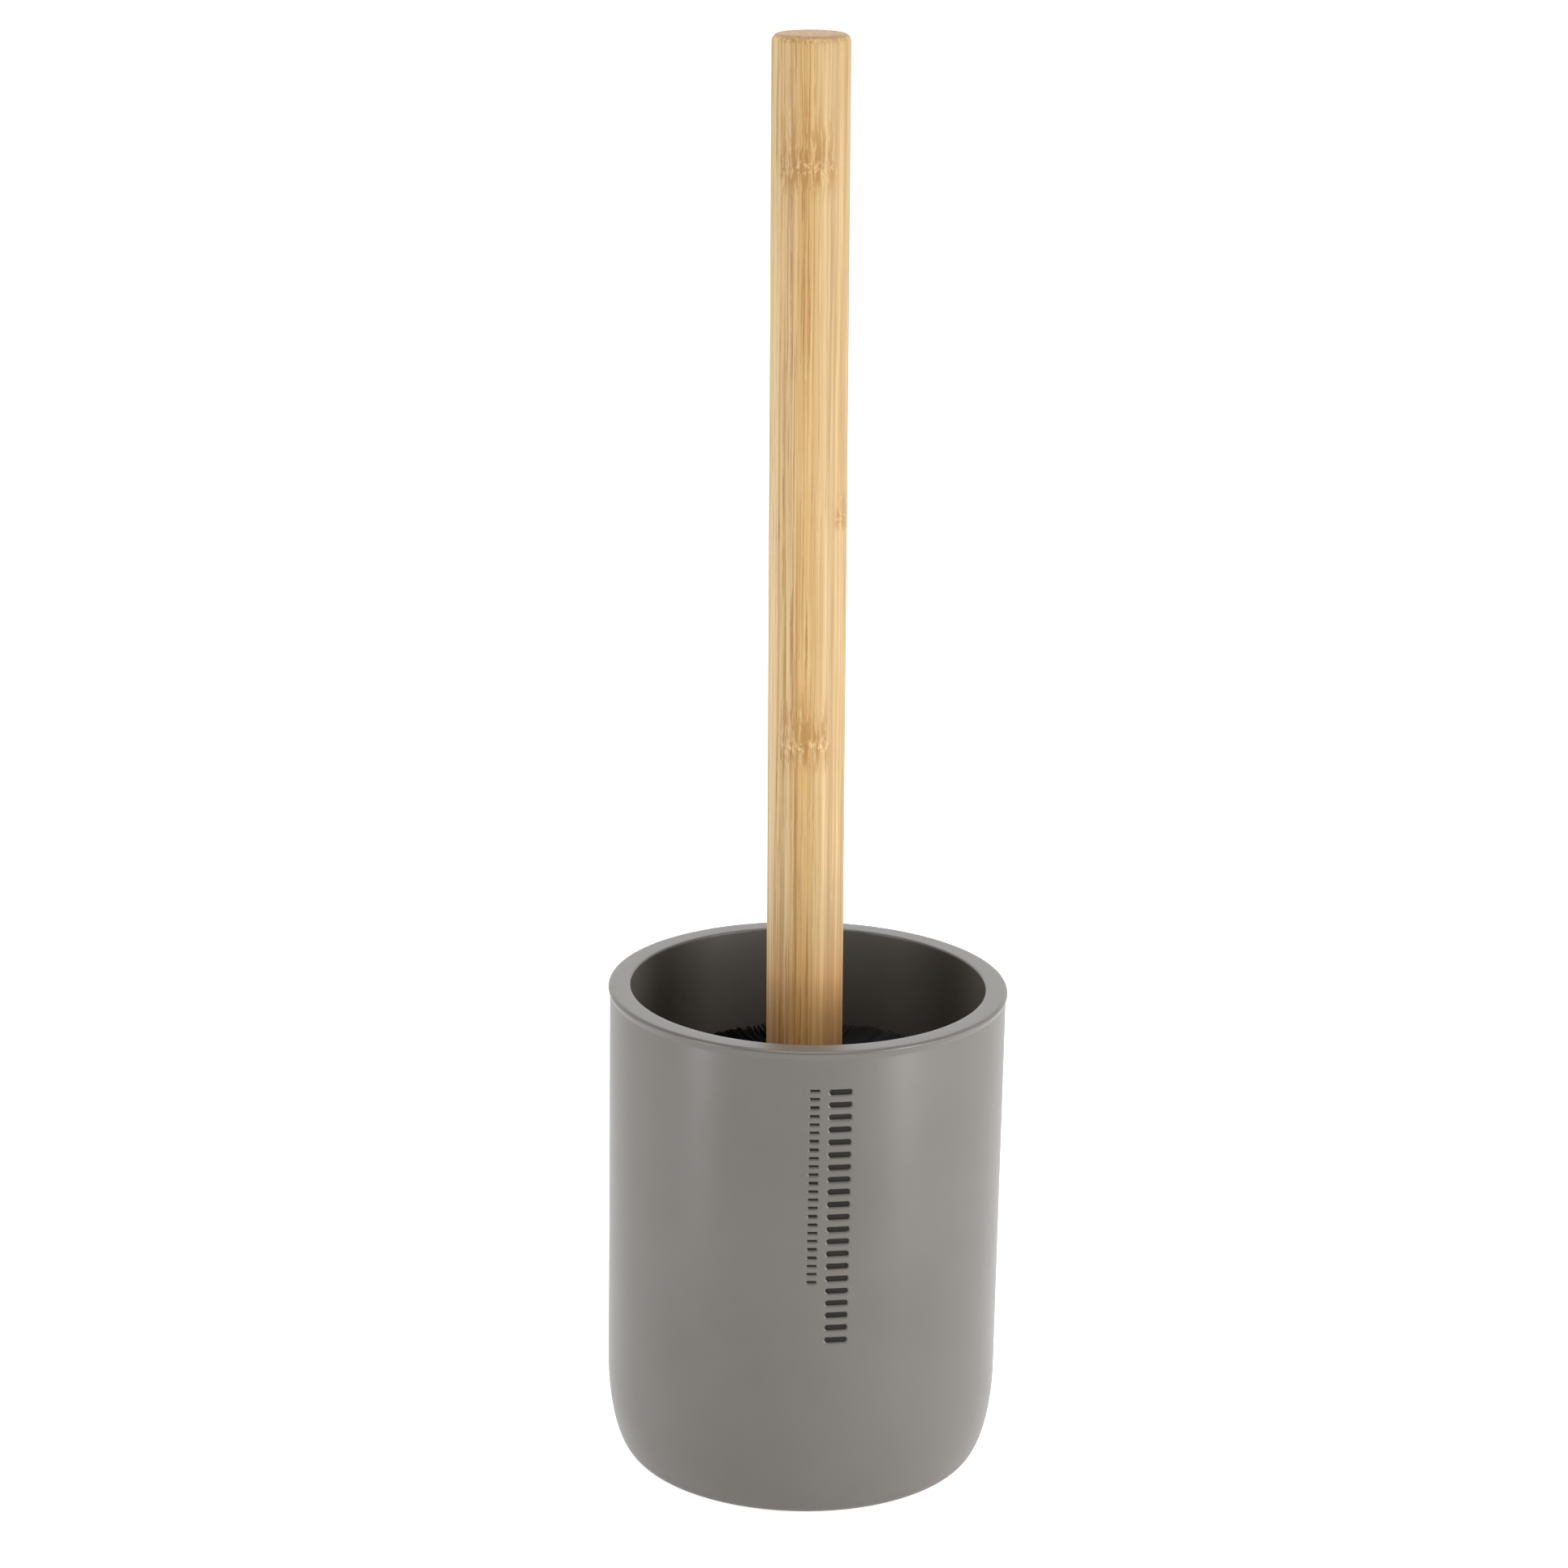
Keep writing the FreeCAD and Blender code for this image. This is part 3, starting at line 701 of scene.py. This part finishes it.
def soft_light(name, place, aim, width, height, power):
    """A rectangular softbox that the camera doesn't see."""
    light = bpy.data.lights.new(name, "AREA")
    light.shape = "RECTANGLE"
    light.size = width
    light.size_y = height
    light.energy = power
    lamp = bpy.data.objects.new(name, light)
    bpy.context.scene.collection.objects.link(lamp)
    lamp.location = place
    lamp.rotation_mode = "QUATERNION"
    lamp.rotation_quaternion = (Vector(aim) - Vector(place)).to_track_quat("-Z", "Y")
    lamp.visible_camera = False


def studio_light():
    """A room that is bright behind the holder, a tall softbox at each side and one overhead."""
    world = bpy.data.worlds.new("studio")
    bpy.context.scene.world = world
    world.use_nodes = True
    tree = world.node_tree
    background = tree.nodes["Background"]
    background.inputs["Color"].default_value = rgb(1.0, 1.0, 1.0)
    place = tree.nodes.new("ShaderNodeTexCoord")
    split = tree.nodes.new("ShaderNodeSeparateXYZ")
    tree.links.new(place.outputs["Generated"], split.inputs[0])
    ramps = []
    for low, high, bottom, top in ((-0.3, 0.6, 0.02, 0.90), (0.6, 0.95, 0.0, 0.75)):
        ramp = tree.nodes.new("ShaderNodeMapRange")
        ramp.interpolation_type = "SMOOTHSTEP"
        tree.links.new(split.outputs["Y"], ramp.inputs["Value"])
        for key, value in (("From Min", low), ("From Max", high), ("To Min", bottom), ("To Max", top)):
            ramp.inputs[key].default_value = value
        ramps.append(ramp.outputs["Result"])
    glow = tree.nodes.new("ShaderNodeMath")
    glow.operation = "ADD"
    tree.links.new(ramps[0], glow.inputs[0])
    tree.links.new(ramps[1], glow.inputs[1])
    # the camera itself sees plain white behind the holder
    seen = tree.nodes.new("ShaderNodeLightPath")
    white = tree.nodes.new("ShaderNodeMath")
    white.operation = "MAXIMUM"
    tree.links.new(seen.outputs["Is Camera Ray"], white.inputs[0])
    tree.links.new(glow.outputs[0], white.inputs[1])
    tree.links.new(white.outputs[0], background.inputs["Strength"])
    # name, place, aim, width, height, power
    soft_light("light_right", (0.51, -0.345, 0.26), (0, 0, 0.20), 0.20, 0.48, 2.45)
    soft_light("light_left", (-0.51, -0.345, 0.26), (0, 0, 0.20), 0.20, 0.48, 1.47)
    soft_light("card_right", (0.92, -0.20, 0.14), (0, 0, 0.12), 0.90, 0.26, 2.9)
    soft_light("strip_right", (0.34, -0.25, 0.06), (0, 0, 0.10), 0.05, 0.12, 0.20)
    soft_light("strip_left", (-0.33, -0.20, 0.06), (0, 0, 0.10), 0.05, 0.12, 0.12)
    soft_light("above", (0.0, -0.18, 1.15), (0, 0, 0.10), 0.60, 0.60, 6.2)
    soft_light("card_left", (-0.92, -0.20, 0.14), (0, 0, 0.12), 0.90, 0.26, 1.2)


def aim_camera():
    """Camera of the photograph's view, found from the outlines of the cup and the handle."""
    distance, rise = 1.11918, 0.38966       # metres in front of the cup and above its rim
    pitch, yaw, roll = 0.292843, -0.006162, 0.017547
    ahead = Vector((math.sin(yaw) * math.cos(pitch), math.cos(yaw) * math.cos(pitch), -math.sin(pitch)))
    right = Vector((math.cos(yaw), -math.sin(yaw), 0.0))
    up = right.cross(ahead)
    rolled_right = math.cos(roll) * right + math.sin(roll) * up
    rolled_up = -math.sin(roll) * right + math.cos(roll) * up
    turn = Matrix((rolled_right, rolled_up, -ahead)).transposed()
    data = bpy.data.cameras.new("camera")
    data.sensor_width = 36.0
    data.lens = 108.475
    data.clip_start = 0.05
    data.clip_end = 60.0
    camera = bpy.data.objects.new("camera", data)
    bpy.context.scene.collection.objects.link(camera)
    camera.matrix_world = Matrix.Translation((0.0, -distance, rise + RIM_HEIGHT * MM)) @ turn.to_4x4()
    bpy.context.scene.camera = camera


def dress_node(node, material):
    """Gives a CAD node that stays visible its material."""
    piece = frame["nodes"][node]
    piece.data.materials.clear()
    piece.data.materials.append(material)


def main():
    bpy.context.scene.view_settings.view_transform = "Standard"
    placement = brush_matrix()
    aim_camera()
    studio_light()
    plain_floor()
    steel = metal_material("zinc_plate", (0.62, 0.62, 0.60), 0.30)
    build_cup(resin_material())
    build_handle(bamboo_material(GROWTH_NODES), placement)
    build_stud(steel, placement)
    build_bristles(bristle_material(), placement)
    dress_node("base_pad", foam_material())
    dress_node("brush_core", plastic_material("black_core", (0.012, 0.012, 0.012), 0.42, 900.0))
    dress_node("seal_washer", plastic_material("black_rubber", (0.016, 0.016, 0.016), 0.70, 1500.0))
    dress_node("threaded_insert", steel)
    dress_node("tuft_anchors", steel)


main()
